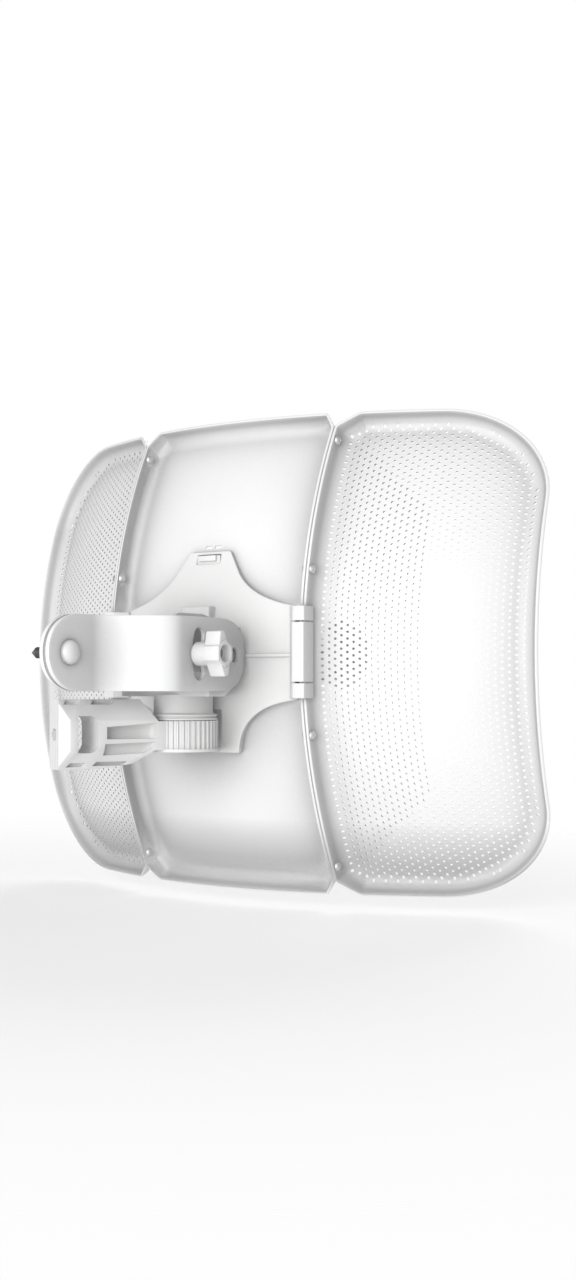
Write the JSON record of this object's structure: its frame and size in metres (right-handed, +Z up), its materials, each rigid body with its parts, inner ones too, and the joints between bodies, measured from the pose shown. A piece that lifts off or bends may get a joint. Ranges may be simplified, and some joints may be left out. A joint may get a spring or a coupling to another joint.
{
  "type": "outdoor wireless bridge",
  "caption": "Dish antenna with perforated wings, a feed on its axis and a tilting, swivelling pole mount behind it.",
  "frame": {"origin": "middle of the ridged seat that is strapped against the pole", "axes": "+Z up along the pole, +Y the way the dish looks, +X to the right seen from behind"},
  "size_m": [0.3582, 0.2725, 0.27],
  "materials": {
    "painted_sheet": "white powder coat, satin",
    "white_plastic": "white moulded plastic, satin",
    "zinc_steel": "zinc plated",
    "dark_rubber": "matt",
    "black_plastic": "satin",
    "circuit_board": "solder mask",
    "tin_plate": "bright",
    "copper_face": "bare metal",
    "clear_plastic": "clear"
  },
  "bodies": {
    "arm": {"pole_arm": "white_plastic", "azimuth_bolt": "zinc_steel", "azimuth_washer": "zinc_steel"},
    "swivel": {"swivel_post": "white_plastic", "right_yoke_plate": "painted_sheet", "left_yoke_plate": "painted_sheet", "yoke_spacer": "painted_sheet", "rear_bolt": "painted_sheet", "rear_washer": "zinc_steel", "rear_nut": "zinc_steel", "right_pivot_bushing": "zinc_steel", "left_pivot_bushing": "zinc_steel", "right_yoke_screw_1": "zinc_steel", "right_yoke_screw_2": "zinc_steel", "left_yoke_screw_1": "zinc_steel", "left_yoke_screw_2": "zinc_steel"},
    "head": {"centre_panel": "painted_sheet", "right_wing": "painted_sheet", "left_wing": "painted_sheet", "rear_bracket": "white_plastic", "lock_bolt": "zinc_steel", "feed_lower_shell": "white_plastic", "feed_upper_shell": "white_plastic", "feed_base_plug": "white_plastic", "feed_collar": "white_plastic", "feed_seal": "dark_rubber", "feed_nose": "white_plastic", "sub_reflector": "painted_sheet", "main_board": "circuit_board", "rf_shield": "tin_plate", "ethernet_jack": "black_plastic", "radiator": "copper_face", "light_pipe": "clear_plastic", "reset_switch": "black_plastic", "right_seam_rivet_1": "zinc_steel", "right_seam_rivet_2": "zinc_steel", "right_seam_rivet_3": "zinc_steel", "right_seam_rivet_4": "zinc_steel", "left_seam_rivet_1": "zinc_steel", "left_seam_rivet_2": "zinc_steel", "left_seam_rivet_3": "zinc_steel", "left_seam_rivet_4": "zinc_steel"},
    "nut": {"wing_nut": "white_plastic"},
    "latch": {"bracket_latch": "white_plastic"},
    "door": {"port_door": "white_plastic"},
    "button": {"reset_button": "dark_rubber"}
  },
  "joints": [
    {"name": "azimuth", "type": "hinge", "parent": "arm", "child": "swivel", "pos_m": [0.03212, 0.06888, 0], "axis": [0, 0, 1], "range_deg": [-85, 35]},
    {"name": "elevation", "type": "hinge", "parent": "swivel", "child": "head", "pos_m": [0.03012, 0.07438, 0.0425], "axis": [1, 0, 0], "range_deg": [-4, 15]},
    {"name": "wing_nut_spin", "type": "hinge", "parent": "head", "child": "nut", "pos_m": [0.07012, 0.04188, 0.0425], "axis": [1, 0, 0], "continuous": true},
    {"name": "latch_press", "type": "slide", "parent": "head", "child": "latch", "axis": [0, -1, 0], "range_m": [0, 0.002], "stiffness_N_per_m": 400, "springref_m": -0.001},
    {"name": "port_door_slide", "type": "slide", "parent": "head", "child": "door", "axis": [0, 1, 0], "range_m": [0, 0.026]},
    {"name": "reset_press", "type": "slide", "parent": "head", "child": "button", "axis": [0, 0, 1], "range_m": [0, 0.0008], "stiffness_N_per_m": 300, "springref_m": -0.0005}
  ]
}
